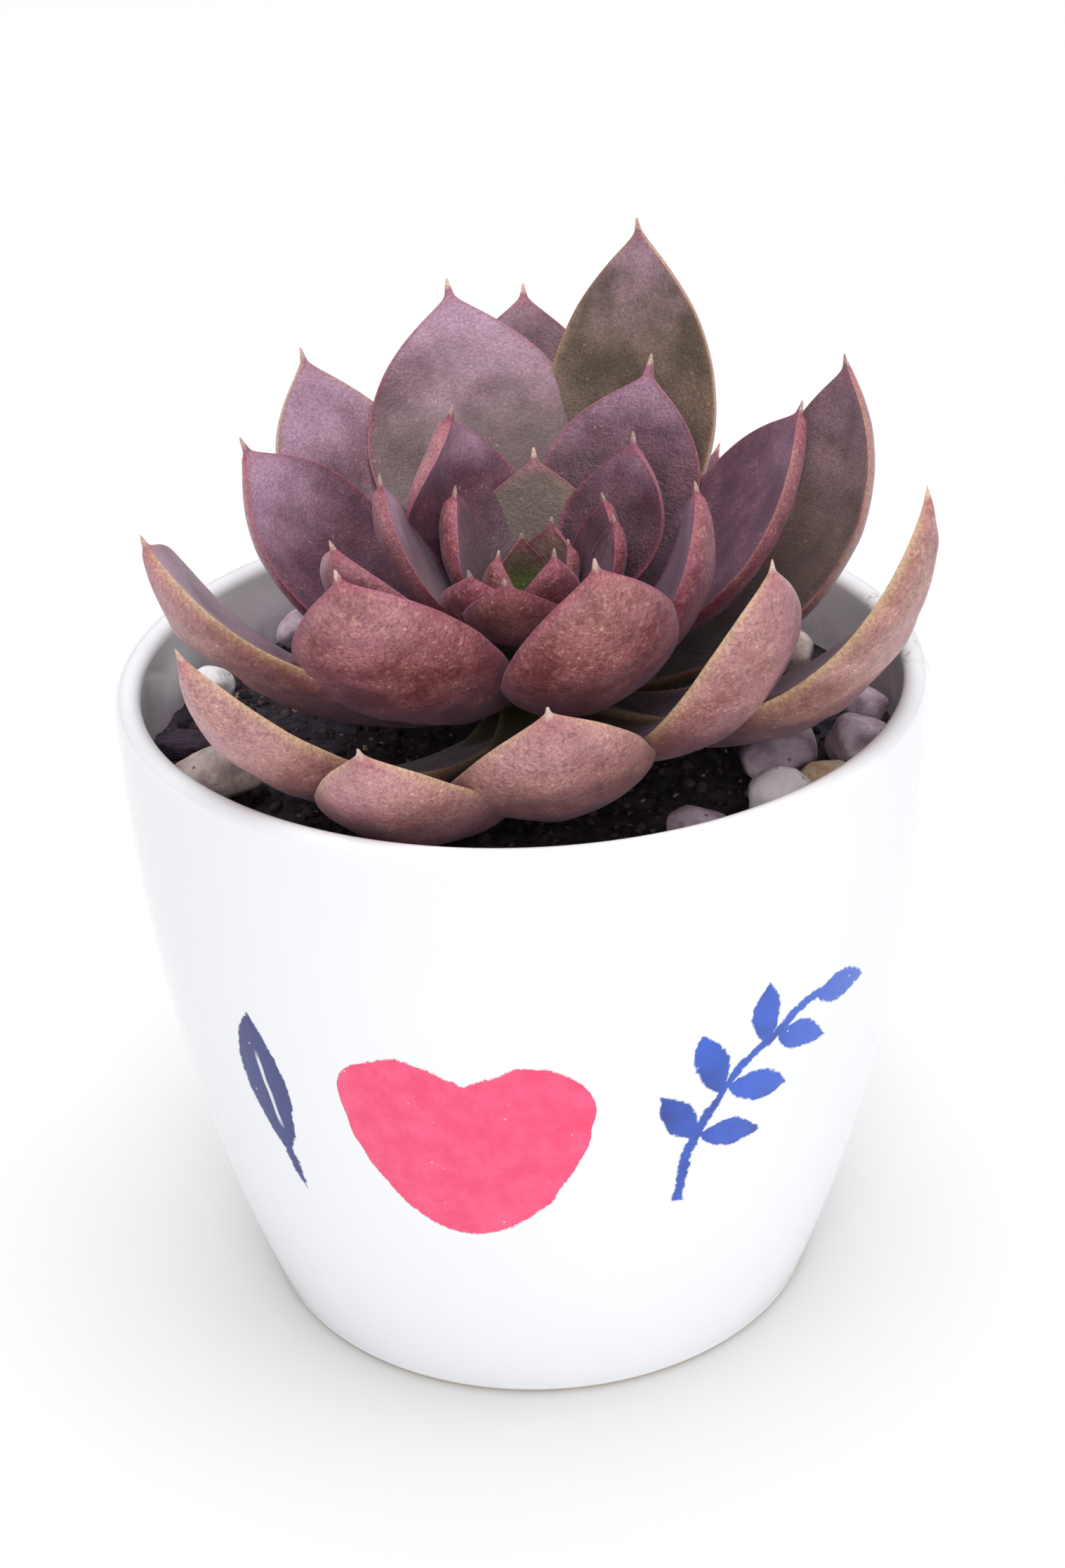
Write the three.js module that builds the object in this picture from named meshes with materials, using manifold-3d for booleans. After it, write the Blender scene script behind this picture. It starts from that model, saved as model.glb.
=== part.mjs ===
// A potted succulent: a rosette of thick, pointed leaves on a short stem, in gritty soil with a
// few pebbles on top, in a small round white pot.
//
// Millimetres, +Z up. The origin is the centre of the pot's flat underside, where it stands.
// Headings turn anticlockwise seen from above: 0 is +X, 90 is +Y, 270 is the front.

import * as THREE from 'three';
import { mergeVertices } from 'three/addons/utils/BufferGeometryUtils.js';
import Module from 'manifold-3d';

const wasm = await Module();
wasm.setup();

// Pot
const RIM_DIAMETER = 76;
const POT_HEIGHT = 65;
const BASE_DIAMETER = 55;
const WALL = 2.4;
const FLOOR = 5;
const BASE_EDGE = 0.8; // rounding where the wall meets the underside
const BOWL_FULLNESS = 2.2; // higher: the wall swells out nearer the base
const POT_STEPS_UP = 9;
const POT_STEPS_ROUND = 40;

// Soil
const SOIL_BELOW_RIM = 9;
const SOIL_TOP = POT_HEIGHT - SOIL_BELOW_RIM;

// Stem
const STEM_DIAMETER = 8.4;
const HEART_DIAMETER = 4.6; // just under the growing tip
const STEM_HEIGHT = 13.5; // above the soil, to the top of the growing tip
const STEM_DEPTH = 14; // below the soil
const STEM_CENTRE = new THREE.Vector2(1, 0); // a little off the pot's centre

// Leaves
const LEAF_START = 2.5; // distance of a leaf's first point from the stem's axis, inside the stem
const LEAF_FOOT = 0.34; // width at the foot, as a share of the widest
const LEAF_WIDEST_AT = 0.62; // share of the length where a leaf is widest
const SHOULDER_POWER = 7; // higher: blunter shoulders under the spine
const FULL_WIDTH = 16; // narrower leaves are young, with sharper shoulders in proportion
const SHOULDER_HOLLOW = 1.25; // higher: hollower sides between the shoulders and the spine
const SHOULDER_END = 0.4; // how much of the spine's length the shoulders leave clear
const BLADE_PEAK = 0.96; // the widest that swell and shoulders reach together
const SPINE_TIP = 0.1; // half-width of the spine at its very end
const SPINE_TAPER = 0.22; // how much that grows for each millimetre back from the tip
const SPINE_MOST = 1; // and the most that it reaches
const SPINE_SHARE = 0.12; // or this share of the leaf's width, if that is less
const LEAF_CUP = 0.16; // how far the margins rise, as a share of the half-width
const LEAF_FULLNESS = 0.17; // thickness as a share of the width, on top of LEAF_SKIN
const LEAF_SKIN = 0.6; // or LEAF_SKIN_SHARE of the width, if that is less
const LEAF_SKIN_SHARE = 0.05;
const UPPER_SHARE = 0.25; // share of the thickness on the flatter upper face
const LEAF_STEPS_ALONG = 12;
const LEAF_STEPS_ROUND = 12;
const SMALL_LEAF = 16; // leaves shorter than this have fewer steps along

// Gaps
const GAP = 0.3; // between pieces that touch
const CUT_MARGIN = 0.36; // how far a piece grows before it trims its neighbour

// One leaf a row, from the heart outwards: heading, lift at the foot and curl to the tip in
// degrees, length, width, height of the foot above the soil, roll and twist in degrees,
// sideways bend at the tip, and length of the spine.
const LEAVES = [
  [100, 68, 35, 7.5, 6, 13, 0, 0, 0, 1.4],
  [5, 67, 28, 7.9, 6, 13, 0, 0, 0, 1.5],
  [215, 65, 40, 8.5, 6.5, 12.5, 0, 0, 0, 1.6],
  [61, 60, 30, 9.3, 7.5, 12.5, 0, 0, 0, 1.8],
  [298, 58, 35, 10.3, 7.5, 12, 0, 0, 0, 1.8],
  [343, 36, 60, 14.8, 8.5, 11.5, 15, 20, -0.5, 2.2],
  [8, 40, 63, 14.9, 9.5, 11.5, 10, 10, 0, 2.2],
  [156, 52, 41, 15.4, 11.5, 11, 5, 10, 0, 2.4],
  [243, 29, 39, 15.8, 10, 11.5, 5, 0, 0.5, 2.2],
  [83, 39, 34, 17, 12, 11.5, 0, 0, 0.5, 2.8],
  [263, 16, 43, 20, 10, 13, 3, 0, 0, 2.5],
  [30, 30, 58, 20, 12, 12, 14, 5, 1, 3],
  [192, 32, 54, 22, 12, 11, -4, -10, 0.5, 3],
  [133, 36, 65, 23, 16, 11, -36, 70, -1, 4],
  [322, 12, 81, 31, 15, 9, 9, 32, -2, 3],
  [288, 1, 79, 36, 16, 9, 3, 0, -3.5, 2.5],
  [54, 26, 50, 31, 16, 9, 10, 3, 0, 5],
  [233, 18, 46, 34, 15, 9, -4, -4, 0, 2.5],
  [3, 21, 53, 35, 19, 8, 4, 3, 0, 3],
  [240, 4, 67, 39, 17, 8, 16, 13, 0, 3],
  [100, 20, 42, 44, 22, 7, 0, -2, 1, 4],
  [61, 16, 77, 49, 21, 6, -13, 2, 2.5, 3],
  [135, 14, 54, 41, 20, 6, 2, 2, -2, 3],
  [167, 21, 48, 35, 19, 6, -4, -9, 1, 3.5],
  [207, 4, 62, 45, 21, 6, 34, -50, 2, 3],
  [333, -15, 103, 52, 20, 6, -26, 38, -3, 2],
  [311, -10, 95, 44, 16, 6, 12, -7, -3, 2],
  [10, -3, 103, 47, 18, 5.5, -7, 27, -1, 3],
  [275, -20, 91, 39, 18, 5.5, 0, 8, -2, 1.5],
  [246, -26, 92, 42, 16, 5, 11, 2, 1, 1.5],
  [230, -12, 82, 50, 13, 3.5, 24, -21, -2, 1.5],
  [89, 14, 48, 47, 21, 5, 0, 0, 0, 3],
  [55, 2, 37, 38, 17, 4.5, -14, -13, 1.5, 3],
  [118, 2, 40, 36, 17, 4.5, 0, 0, 0, 3],
];

// One pebble a row: bearing from the pot's centre, how far out as a share of the farthest place
// where it fits, half-length, half-width and half-height, heading, and its colour.
const PEBBLES = [
  [199, 0.98, 4.9, 3.4, 2.8, 10, 'beige'],
  [321, 0.93, 3.8, 3.3, 3, 30, 'white'],
  [332, 0.96, 3.2, 2.6, 2, 60, 'amber'],
  [342, 0.84, 5.2, 3.6, 2.2, 65, 'grey'],
  [348, 1, 3.8, 3, 2.6, 80, 'grey'],
  [2, 1, 2.2, 1.8, 2, 0, 'grey'],
  [306, 0.8, 3.4, 2.6, 1.6, 30, 'grey'],
  [295, 0.8, 1.6, 1.3, 1.1, 0, 'beige'],
  [134, 1, 3.4, 2.8, 2.4, 45, 'grey'],
  [163, 1, 3, 2.4, 2.6, 70, 'white'],
  [28, 0.95, 3.4, 2.6, 2, 110, 'beige'],
  [72, 1, 3.2, 2.4, 2, 0, 'grey'],
  [262, 1, 2.6, 2.2, 1.8, 90, 'grey'],
  [228, 1, 2.8, 2.2, 1.6, 140, 'beige'],
];
const PEBBLE_COLOURS = { beige: '#b9a894', white: '#e6e2dc', amber: '#d9b184', grey: '#8d8290' };
const PEBBLE_LUMPS = 0.08; // share of its size by which a pebble's face rises and falls

// Bark chip, lying by the wall
const CHIP_LENGTH = 6.5;
const CHIP_WIDTH = 3.4;
const CHIP_THICKNESS = 1.8;
const CHIP_BEARING = 180;

function material(colour, roughness, metalness = 0) {
  return new THREE.MeshStandardMaterial({ color: colour, roughness, metalness });
}

// A solid from a closed geometry: shared vertices are merged and flat triangles left out.
function solid(geometry) {
  const bare = geometry.clone();
  bare.deleteAttribute('normal');
  bare.deleteAttribute('uv');
  const merged = mergeVertices(bare, 1e-5);
  const index = merged.index.array;
  const triVerts = [];
  for (let i = 0; i < index.length; i += 3) {
    const [a, b, c] = [index[i], index[i + 1], index[i + 2]];
    if (a !== b && b !== c && c !== a) {
      triVerts.push(a, b, c);
    }
  }
  const mesh = new wasm.Mesh({
    numProp: 3,
    vertProperties: new Float32Array(merged.attributes.position.array),
    triVerts: new Uint32Array(triVerts),
  });
  return new wasm.Manifold(mesh);
}

function geometryOf(piece) {
  const mesh = piece.getMesh();
  const geometry = new THREE.BufferGeometry();
  geometry.setAttribute('position', new THREE.BufferAttribute(mesh.vertProperties, 3));
  geometry.setIndex(new THREE.BufferAttribute(mesh.triVerts, 1));
  geometry.computeVertexNormals();
  return geometry;
}

// The same closed shape, every point pushed out along its normal.
function grown(geometry, distance) {
  const bare = geometry.clone();
  bare.deleteAttribute('normal');
  bare.deleteAttribute('uv');
  const bigger = mergeVertices(bare, 1e-5);
  bigger.computeVertexNormals();
  const position = bigger.attributes.position;
  const normal = bigger.attributes.normal;
  for (let i = 0; i < position.count; i++) {
    position.setXYZ(
      i,
      position.getX(i) + distance * normal.getX(i),
      position.getY(i) + distance * normal.getY(i),
      position.getZ(i) + distance * normal.getZ(i),
    );
  }
  return solid(bigger);
}

// What is left of a piece after the cutters, without loose scraps.
function trimmed(piece, cutters) {
  const cut = cutters.reduce((rest, cutter) => rest.subtract(cutter), piece);
  const parts = cut.decompose();
  return parts.reduce((best, part) => (part.volume() > best.volume() ? part : best));
}

// Outer radius of the pot's wall at a height: full and round low down, upright near the rim.
function wallRadius(z) {
  const share = 1 - (1 - z / POT_HEIGHT) ** BOWL_FULLNESS;
  return BASE_DIAMETER / 2 + (RIM_DIAMETER - BASE_DIAMETER) / 2 * share;
}

function revolved(profile) {
  const geometry = new THREE.LatheGeometry(profile, POT_STEPS_ROUND);
  geometry.rotateX(Math.PI / 2);
  return geometry;
}

function potGeometry() {
  const lip = WALL / 2;
  const outside = [];
  const inside = [];
  for (let i = 0; i <= POT_STEPS_UP; i++) {
    const rise = i / POT_STEPS_UP;
    const outer = BASE_EDGE + (POT_HEIGHT - lip - BASE_EDGE) * rise;
    const inner = FLOOR + (POT_HEIGHT - lip - FLOOR) * rise;
    outside.push(new THREE.Vector2(wallRadius(outer), outer));
    inside.unshift(new THREE.Vector2(wallRadius(inner) - WALL, inner));
  }
  const rimMiddle = wallRadius(POT_HEIGHT - lip) - lip;
  const rim = [30, 60, 90, 120, 150].map((degrees) => {
    const angle = THREE.MathUtils.degToRad(degrees);
    const top = POT_HEIGHT - lip + lip * Math.sin(angle);
    return new THREE.Vector2(rimMiddle + lip * Math.cos(angle), top);
  });
  const underside = [new THREE.Vector2(0, 0), new THREE.Vector2(wallRadius(0) - BASE_EDGE, 0)];
  return revolved([...underside, ...outside, ...rim, ...inside, new THREE.Vector2(0, FLOOR)]);
}

// Fills the pot up to the soil line, a gap inside its wall.
function soilGeometry() {
  const bottom = FLOOR + GAP;
  const profile = [new THREE.Vector2(0, bottom)];
  const steps = POT_STEPS_UP - 3;
  for (let i = 0; i <= steps; i++) {
    const z = bottom + (SOIL_TOP - bottom) * i / steps;
    profile.push(new THREE.Vector2(wallRadius(z) - WALL - GAP, z));
  }
  profile.push(new THREE.Vector2(0, SOIL_TOP));
  return revolved(profile);
}

// A tapering core with a domed growing tip.
function stemGeometry() {
  const foot = SOIL_TOP - STEM_DEPTH;
  const dome = HEART_DIAMETER / 2;
  const neck = SOIL_TOP + STEM_HEIGHT - dome;
  const profile = [
    new THREE.Vector2(0, foot),
    new THREE.Vector2(STEM_DIAMETER / 2, foot),
    new THREE.Vector2(STEM_DIAMETER / 2, SOIL_TOP),
    new THREE.Vector2(dome, neck),
    new THREE.Vector2(dome * Math.cos(Math.PI / 4), neck + dome * Math.sin(Math.PI / 4)),
    new THREE.Vector2(0, SOIL_TOP + STEM_HEIGHT),
  ];
  const geometry = new THREE.LatheGeometry(profile, 20);
  geometry.rotateX(Math.PI / 2);
  geometry.translate(STEM_CENTRE.x, STEM_CENTRE.y, 0);
  return geometry;
}

// Half-width of a leaf at s, 0 at the foot and 1 at the tip: it swells from the foot, rounds off
// at the shoulders, and is drawn in hollow below a short spine that narrows evenly.
function halfWidth(leaf, s) {
  const swell = Math.sin(Math.min(s / LEAF_WIDEST_AT, 1) * Math.PI / 2) ** 1.6;
  const end = 1 - SHOULDER_END * leaf.spine / leaf.length;
  const power = SHOULDER_POWER * Math.min(1, leaf.width / FULL_WIDTH);
  const shoulders = Math.max(0, 1 - (s / end) ** power) ** SHOULDER_HOLLOW;
  const blade = leaf.width / 2 * (LEAF_FOOT + (1 - LEAF_FOOT) * swell) * shoulders / BLADE_PEAK;
  const spine = SPINE_TIP + SPINE_TAPER * (1 - s) * leaf.length;
  return Math.hypot(blade, Math.min(spine, SPINE_MOST, SPINE_SHARE * leaf.width));
}

// The middle of a leaf at s, with the directions across it and out of its upper face.
function midline(leaf, s) {
  const start = THREE.MathUtils.degToRad(leaf.lift);
  const turn = THREE.MathUtils.degToRad(leaf.curl);
  const slope = start + turn * s;
  const reach = LEAF_START + leaf.length / turn * (Math.sin(slope) - Math.sin(start));
  const rise = leaf.height + leaf.length / turn * (Math.cos(start) - Math.cos(slope));
  const drift = 2 * leaf.bend * s / leaf.length;
  const tangent = new THREE.Vector3(Math.cos(slope), drift, Math.sin(slope)).normalize();
  const up = new THREE.Vector3(-Math.sin(slope), 0, Math.cos(slope));
  const across = new THREE.Vector3().crossVectors(up, tangent).normalize();
  const upper = new THREE.Vector3().crossVectors(tangent, across);
  const roll = THREE.MathUtils.degToRad(leaf.roll + leaf.twist * s);
  across.applyAxisAngle(tangent, roll);
  upper.applyAxisAngle(tangent, roll);
  return { point: new THREE.Vector3(reach, leaf.bend * s * s, rise), across, upper };
}

// A sphere drawn out along the midline: one pole is the foot, the other the tip. The upper face
// is nearly flat and cupped, the lower face full.
function leafGeometry(leaf) {
  const stepsAlong = leaf.length < SMALL_LEAF ? LEAF_STEPS_ALONG - 3 : LEAF_STEPS_ALONG;
  const geometry = new THREE.SphereGeometry(1, LEAF_STEPS_ROUND, stepsAlong);
  const skin = Math.min(LEAF_SKIN, LEAF_SKIN_SHARE * leaf.width);
  const thickness = LEAF_FULLNESS * leaf.width + skin;
  const position = geometry.attributes.position;
  const vertex = new THREE.Vector3();
  for (let i = 0; i < position.count; i++) {
    vertex.fromBufferAttribute(position, i);
    const s = (1 - vertex.y) / 2;
    const ring = Math.hypot(vertex.x, vertex.z) || 1;
    const side = vertex.x / ring;
    const height = vertex.z / ring;
    const half = halfWidth(leaf, s);
    const deep = Math.min(thickness * Math.min(1, 0.55 + s) * (1 - s ** 6), half * 1.3);
    const share = height > 0 ? UPPER_SHARE : 1 - UPPER_SHARE;
    const { point, across, upper } = midline(leaf, s);
    point.addScaledVector(across, half * side);
    point.addScaledVector(upper, LEAF_CUP * half * side * side + share * deep * height);
    position.setXYZ(i, point.x, point.y, point.z);
  }
  geometry.rotateZ(THREE.MathUtils.degToRad(leaf.heading));
  geometry.translate(STEM_CENTRE.x, STEM_CENTRE.y, SOIL_TOP);
  return geometry;
}

// Moves a shape built about its own centre out along a bearing, down onto the soil.
function laidOnSoil(geometry, bearing, share, halfLength) {
  const farthest = wallRadius(SOIL_TOP) - WALL - GAP - halfLength;
  const angle = THREE.MathUtils.degToRad(bearing);
  geometry.computeBoundingBox();
  const rise = SOIL_TOP + GAP - geometry.boundingBox.min.z;
  geometry.translate(share * farthest * Math.cos(angle), share * farthest * Math.sin(angle), rise);
  return geometry;
}

// A rounded stone with a few low lumps.
function pebbleGeometry([bearing, share, halfLength, halfWidth, halfHeight, heading]) {
  const geometry = new THREE.IcosahedronGeometry(1, 1);
  const position = geometry.attributes.position;
  const vertex = new THREE.Vector3();
  for (let i = 0; i < position.count; i++) {
    vertex.fromBufferAttribute(position, i);
    const waves = Math.sin(2.3 * vertex.x + heading) * Math.cos(2.7 * vertex.y + bearing);
    vertex.multiplyScalar(1 + PEBBLE_LUMPS * waves);
    position.setXYZ(i, vertex.x, vertex.y, vertex.z);
  }
  geometry.scale(halfLength, halfWidth, halfHeight);
  geometry.rotateZ(THREE.MathUtils.degToRad(heading));
  return laidOnSoil(geometry, bearing, share, halfLength);
}

// A broken flake with a slanting end.
function chipGeometry() {
  const outline = new THREE.Shape();
  outline.moveTo(-CHIP_LENGTH / 2, -CHIP_WIDTH / 2);
  outline.lineTo(CHIP_LENGTH * 0.35, -CHIP_WIDTH * 0.4);
  outline.lineTo(CHIP_LENGTH / 2, CHIP_WIDTH * 0.1);
  outline.lineTo(CHIP_LENGTH * 0.2, CHIP_WIDTH / 2);
  outline.lineTo(-CHIP_LENGTH * 0.4, CHIP_WIDTH * 0.3);
  const geometry = new THREE.ExtrudeGeometry(outline, { depth: CHIP_THICKNESS, bevelEnabled: false });
  return laidOnSoil(geometry, CHIP_BEARING, 1, CHIP_LENGTH / 2);
}

const group = new THREE.Group();

function add(name, geometry, look) {
  const mesh = new THREE.Mesh(geometry, look);
  mesh.name = name;
  group.add(mesh);
}

const pot = potGeometry();
const soil = soilGeometry();
const stem = stemGeometry();
const stemCutter = grown(stem, CUT_MARGIN);
const cutters = [grown(pot, CUT_MARGIN), grown(soil, CUT_MARGIN), stemCutter];

add('pot', pot, material('#eef0f4', 0.12));
add('soil', geometryOf(solid(soil).subtract(stemCutter)), material('#241c1a', 0.95));
add('stem', stem, material('#6b7a34', 0.6));

const stones = [];
PEBBLES.forEach((pebble, i) => {
  const whole = pebbleGeometry(pebble);
  const name = `pebble_${String(i + 1).padStart(2, '0')}`;
  add(name, geometryOf(trimmed(solid(whole), stones)), material(PEBBLE_COLOURS[pebble[6]], 0.8));
  stones.push(grown(whole, CUT_MARGIN));
});

const chip = chipGeometry();
add('bark_chip', geometryOf(trimmed(solid(chip), stones)), material('#2b2430', 0.9));
cutters.push(...stones, grown(chip, CUT_MARGIN));

LEAVES.forEach(([heading, lift, curl, length, width, height, roll, twist, bend, spine], i) => {
  const leaf = { heading, lift, curl, length, width, height, roll, twist, bend, spine };
  const whole = leafGeometry(leaf);
  const age = i / LEAVES.length;
  const colour = new THREE.Color('#8a5a4c').lerp(new THREE.Color('#6d3f4e'), age);
  const name = `leaf_${String(i + 1).padStart(2, '0')}`;
  add(name, geometryOf(trimmed(solid(whole), cutters)), material(colour, 0.5));
  cutters.push(grown(whole, CUT_MARGIN));
});

export default group;
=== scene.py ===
"""A potted succulent: a rosette of plump, pointed leaves in a round white glazed pot.

Metres, +Z up, the origin in the middle of the pot's underside. Sizes that a potter or a grower
would give in millimetres are written as a count times MM.
"""

import math

import bpy
import numpy as np
from mathutils import Matrix


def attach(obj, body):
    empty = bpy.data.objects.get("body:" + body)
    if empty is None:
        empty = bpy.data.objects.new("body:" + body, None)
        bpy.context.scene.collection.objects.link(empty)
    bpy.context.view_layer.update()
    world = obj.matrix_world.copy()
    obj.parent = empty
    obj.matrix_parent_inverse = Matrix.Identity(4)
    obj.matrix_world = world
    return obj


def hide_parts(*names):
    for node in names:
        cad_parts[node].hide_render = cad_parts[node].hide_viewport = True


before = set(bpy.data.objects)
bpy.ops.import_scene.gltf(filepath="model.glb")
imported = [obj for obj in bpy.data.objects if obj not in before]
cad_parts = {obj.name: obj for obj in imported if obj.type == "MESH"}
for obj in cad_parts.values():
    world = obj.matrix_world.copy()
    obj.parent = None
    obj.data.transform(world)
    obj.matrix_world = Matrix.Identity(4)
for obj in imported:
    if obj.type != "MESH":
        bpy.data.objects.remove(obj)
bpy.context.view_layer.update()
MM = 0.001


# Studio
# A wide white table top under a big soft lamp straight above, with a weaker one in front and a
# faint one at the right, and white walls all round that fill the shadows. The camera looks down
# into the pot.


def tint(red, green, blue):
    """A colour as mixed on a screen, 0 to 255 a channel, turned into the light it stands for."""
    share = np.array([red, green, blue]) / 255
    light = np.where(share <= 0.04045, share / 12.92, ((share + 0.055) / 1.055) ** 2.4)
    return (*(float(x) for x in light), 1.0)


class Wire:
    """What comes out of one socket. Sums of wires and numbers add Math nodes."""

    def __init__(self, finish, socket):
        self.finish, self.socket = finish, socket

    def maths(self, operation, *values):
        return self.finish.node("ShaderNodeMath", {"operation": operation}, dict(enumerate(values)))

    def __add__(self, other):
        return self.maths("ADD", self, other)

    def __sub__(self, other):
        return self.maths("SUBTRACT", self, other)

    def __rsub__(self, other):
        return self.maths("SUBTRACT", other, self)

    def __mul__(self, other):
        return self.maths("MULTIPLY", self, other)

    def __truediv__(self, other):
        return self.maths("DIVIDE", self, other)

    def __pow__(self, other):
        return self.maths("POWER", self, other)

    def __abs__(self):
        return self.maths("ABSOLUTE", self)

    def least(self, other):
        return self.maths("MINIMUM", self, other)

    def most(self, other):
        return self.maths("MAXIMUM", self, other)

    def rising(self, low, high):
        """0 below low, 1 above high, and a smooth step between them."""
        return self.finish.node(
            "ShaderNodeMapRange",
            {"interpolation_type": "SMOOTHSTEP"},
            {"Value": self, "From Min": low, "From Max": high},
        )

    __radd__ = __add__
    __rmul__ = __mul__


class Finish:
    """A material. plain gives the sockets that are the same all over the piece."""

    def __init__(self, name, **plain):
        self.material = bpy.data.materials.new(name)
        self.material.use_nodes = True
        self.nodes = self.material.node_tree.nodes
        self.links = self.material.node_tree.links
        self.shader = self.nodes["Principled BSDF"]
        for socket, value in plain.items():
            self.shader.inputs[socket.replace("_", " ")].default_value = value

    def node(self, kind, settings=None, sockets=None, output=0):
        """A node of a type: its settings first, then values or wires for its sockets."""
        made = self.nodes.new(kind)
        for setting, value in (settings or {}).items():
            setattr(made, setting, value)
        for key, value in (sockets or {}).items():
            if isinstance(value, Wire):
                self.links.new(value.socket, made.inputs[key])
            else:
                made.inputs[key].default_value = value
        return Wire(self, made.outputs[output])

    def place(self):
        """Where a point is, in the row's frame."""
        return self.node("ShaderNodeTexCoord", output="Object")

    def share(self, name):
        """A number that the piece's mesh carries at each point."""
        return self.node("ShaderNodeAttribute", {"attribute_name": name}, output="Fac")

    def noise(self, where, size, detail=2.0, roughness=0.55):
        """Cloudy variation from 0 to 1, with clouds about size across."""
        sockets = {"Vector": where, "Scale": 1 / size, "Detail": detail, "Roughness": roughness}
        return self.node("ShaderNodeTexNoise", {}, sockets)

    def grains(self, where, size):
        """Distance from the nearest of many scattered grains, as a share of their spacing."""
        return self.node("ShaderNodeTexVoronoi", {}, {"Vector": where, "Scale": 1 / size})

    def mix(self, share, first, second, blend="MIX"):
        """The first colour where share is 0, the second where it is 1."""
        settings = {"data_type": "RGBA", "blend_type": blend}
        return self.node("ShaderNodeMix", settings, {0: share, 6: first, 7: second}, output=2)

    def feed(self, socket, wire):
        self.links.new(wire.socket, self.shader.inputs[socket])

    def relief(self, height, depth):
        """Raises the surface by height, a wire, times depth in metres."""
        sockets = {"Height": height, "Distance": depth}
        self.feed("Normal", self.node("ShaderNodeBump", {}, sockets))


TABLE_HALF = 2.5
WALLS_STRENGTH = 0.22
table = Finish("white_table", Roughness=0.6)
cloud = table.noise(table.place(), 0.6)
table.feed("Base Color", table.mix(cloud, tint(237, 237, 237), tint(240, 240, 240)))
table.feed("Roughness", cloud * 0.1 + 0.55)
corner = np.array([[-1, -1, 0], [1, -1, 0], [1, 1, 0], [-1, 1, 0]]) * TABLE_HALF
floor_mesh = bpy.data.meshes.new("table_top")
floor_mesh.from_pydata(corner.tolist(), [], [(0, 1, 2, 3)])
floor_mesh.materials.append(table.material)
floor = bpy.data.objects.new("table_top", floor_mesh)
bpy.context.collection.objects.link(floor)

world = bpy.data.worlds.new("white_walls")
world.use_nodes = True
wall_light = world.node_tree.nodes["Background"]
wall_light.inputs["Color"].default_value = tint(250, 251, 255)
wall_light.inputs["Strength"].default_value = WALLS_STRENGTH
bpy.context.scene.world = world
bpy.context.scene.view_settings.view_transform = "Standard"


def soft_lamp(name, strength, spread, lean, turn):
    """A far lamp, wide enough to cast soft shadows. Spread is how wide it looks, lean how far it
    comes down from overhead towards the camera's side, and turn how far round to the left of
    that, all in degrees."""
    light = bpy.data.lights.new(name, "SUN")
    light.energy = strength
    light.angle = math.radians(spread)
    held = bpy.data.objects.new(name, light)
    held.rotation_euler = (math.radians(lean), 0, math.radians(-turn))
    bpy.context.collection.objects.link(held)


soft_lamp("overhead_lamp", strength=2.58, spread=64, lean=-3, turn=0)
soft_lamp("front_lamp", strength=1.2, spread=50, lean=66, turn=0)
soft_lamp("side_lamp", strength=0.5, spread=60, lean=70, turn=-80)

CAMERA_PLACE = (0.0, -0.2297, 0.1732)
CAMERA_LENS = 62.04
CAMERA_DOWN = math.radians(27.91)
CAMERA_YAW = math.radians(-0.16)
CAMERA_ROLL = math.radians(-2.11)
camera = bpy.data.objects.new("camera", bpy.data.cameras.new("camera"))
camera.data.lens = CAMERA_LENS
camera.matrix_world = (
    Matrix.Translation(CAMERA_PLACE)
    @ Matrix.Rotation(CAMERA_YAW, 4, "Z")
    @ Matrix.Rotation(math.pi / 2 - CAMERA_DOWN, 4, "X")
    @ Matrix.Rotation(CAMERA_ROLL, 4, "Z")
)
bpy.context.collection.objects.link(camera)
bpy.context.scene.camera = camera


# Pot
# Slip-cast white earthenware, dipped in a clear glossy glaze. The foot ring on which it stands
# was wiped before firing and is bare. A heart and two sprigs are brushed on over the glaze.

POT_HEIGHT = 65 * MM
BASE_RADIUS = 27.5 * MM
RIM_RADIUS = 38 * MM
WALL = 2.4 * MM
POT_FLOOR = 5 * MM
BOWL_FULLNESS = 2.2
SOIL_TOP = 56 * MM


def wall_radius(z):
    """Outer radius at a height: from the base to the rim, full and round low down and upright
    near the rim, as 1 minus a power of what is left of the height."""
    left = np.clip(1 - z / POT_HEIGHT, 0, 1)
    return BASE_RADIUS + (RIM_RADIUS - BASE_RADIUS) * (1 - left**BOWL_FULLNESS)


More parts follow.
